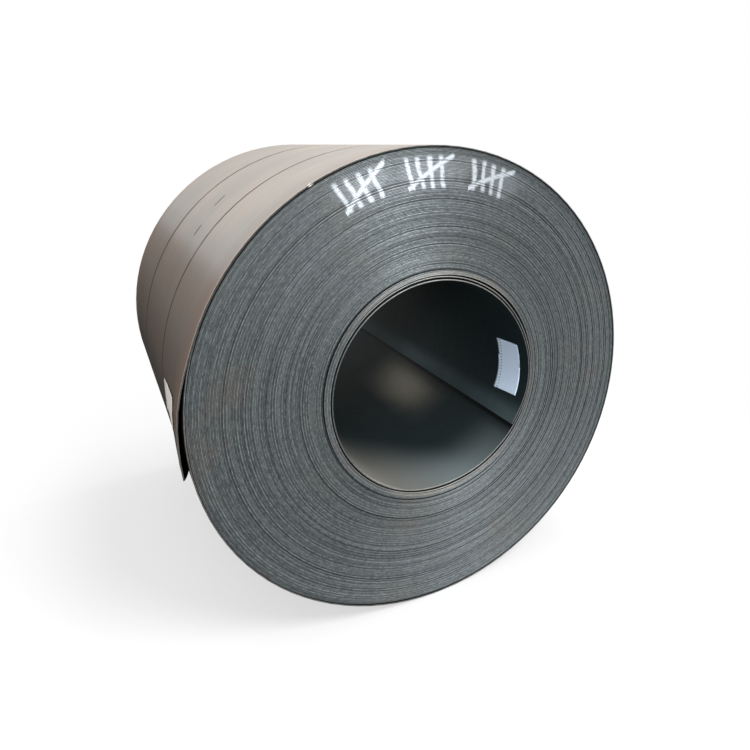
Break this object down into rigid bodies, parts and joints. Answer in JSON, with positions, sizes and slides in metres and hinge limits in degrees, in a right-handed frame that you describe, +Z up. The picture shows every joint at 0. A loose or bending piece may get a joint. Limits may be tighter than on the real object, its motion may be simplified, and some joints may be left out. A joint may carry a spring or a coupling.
{
  "type": "steel coil",
  "caption": "Coil of hot-rolled steel strip lying on its side: tightly wound turns show as rings on both ends round an open bore, with a sprung tail and bare paper labels.",
  "frame": {"origin": "on the axis of the bore, half way along the strip's width", "axes": "bore along Y, -Y out of the front end where the labels are, +Z up, +X to the right seen from the front"},
  "size_m": [1.6585, 1.6084, 1.6416],
  "materials": {
    "strip": "satin mill scale, grey-brown on the outer face and blue-grey on the cut ends",
    "bore_paper": "bare white label paper with a cool tint",
    "side_paper": "bare white label paper, dulled by dust"
  },
  "bodies": {
    "root": {"coil": "strip", "bore_label": "bore_paper", "side_label": "side_paper"}
  },
  "joints": []
}
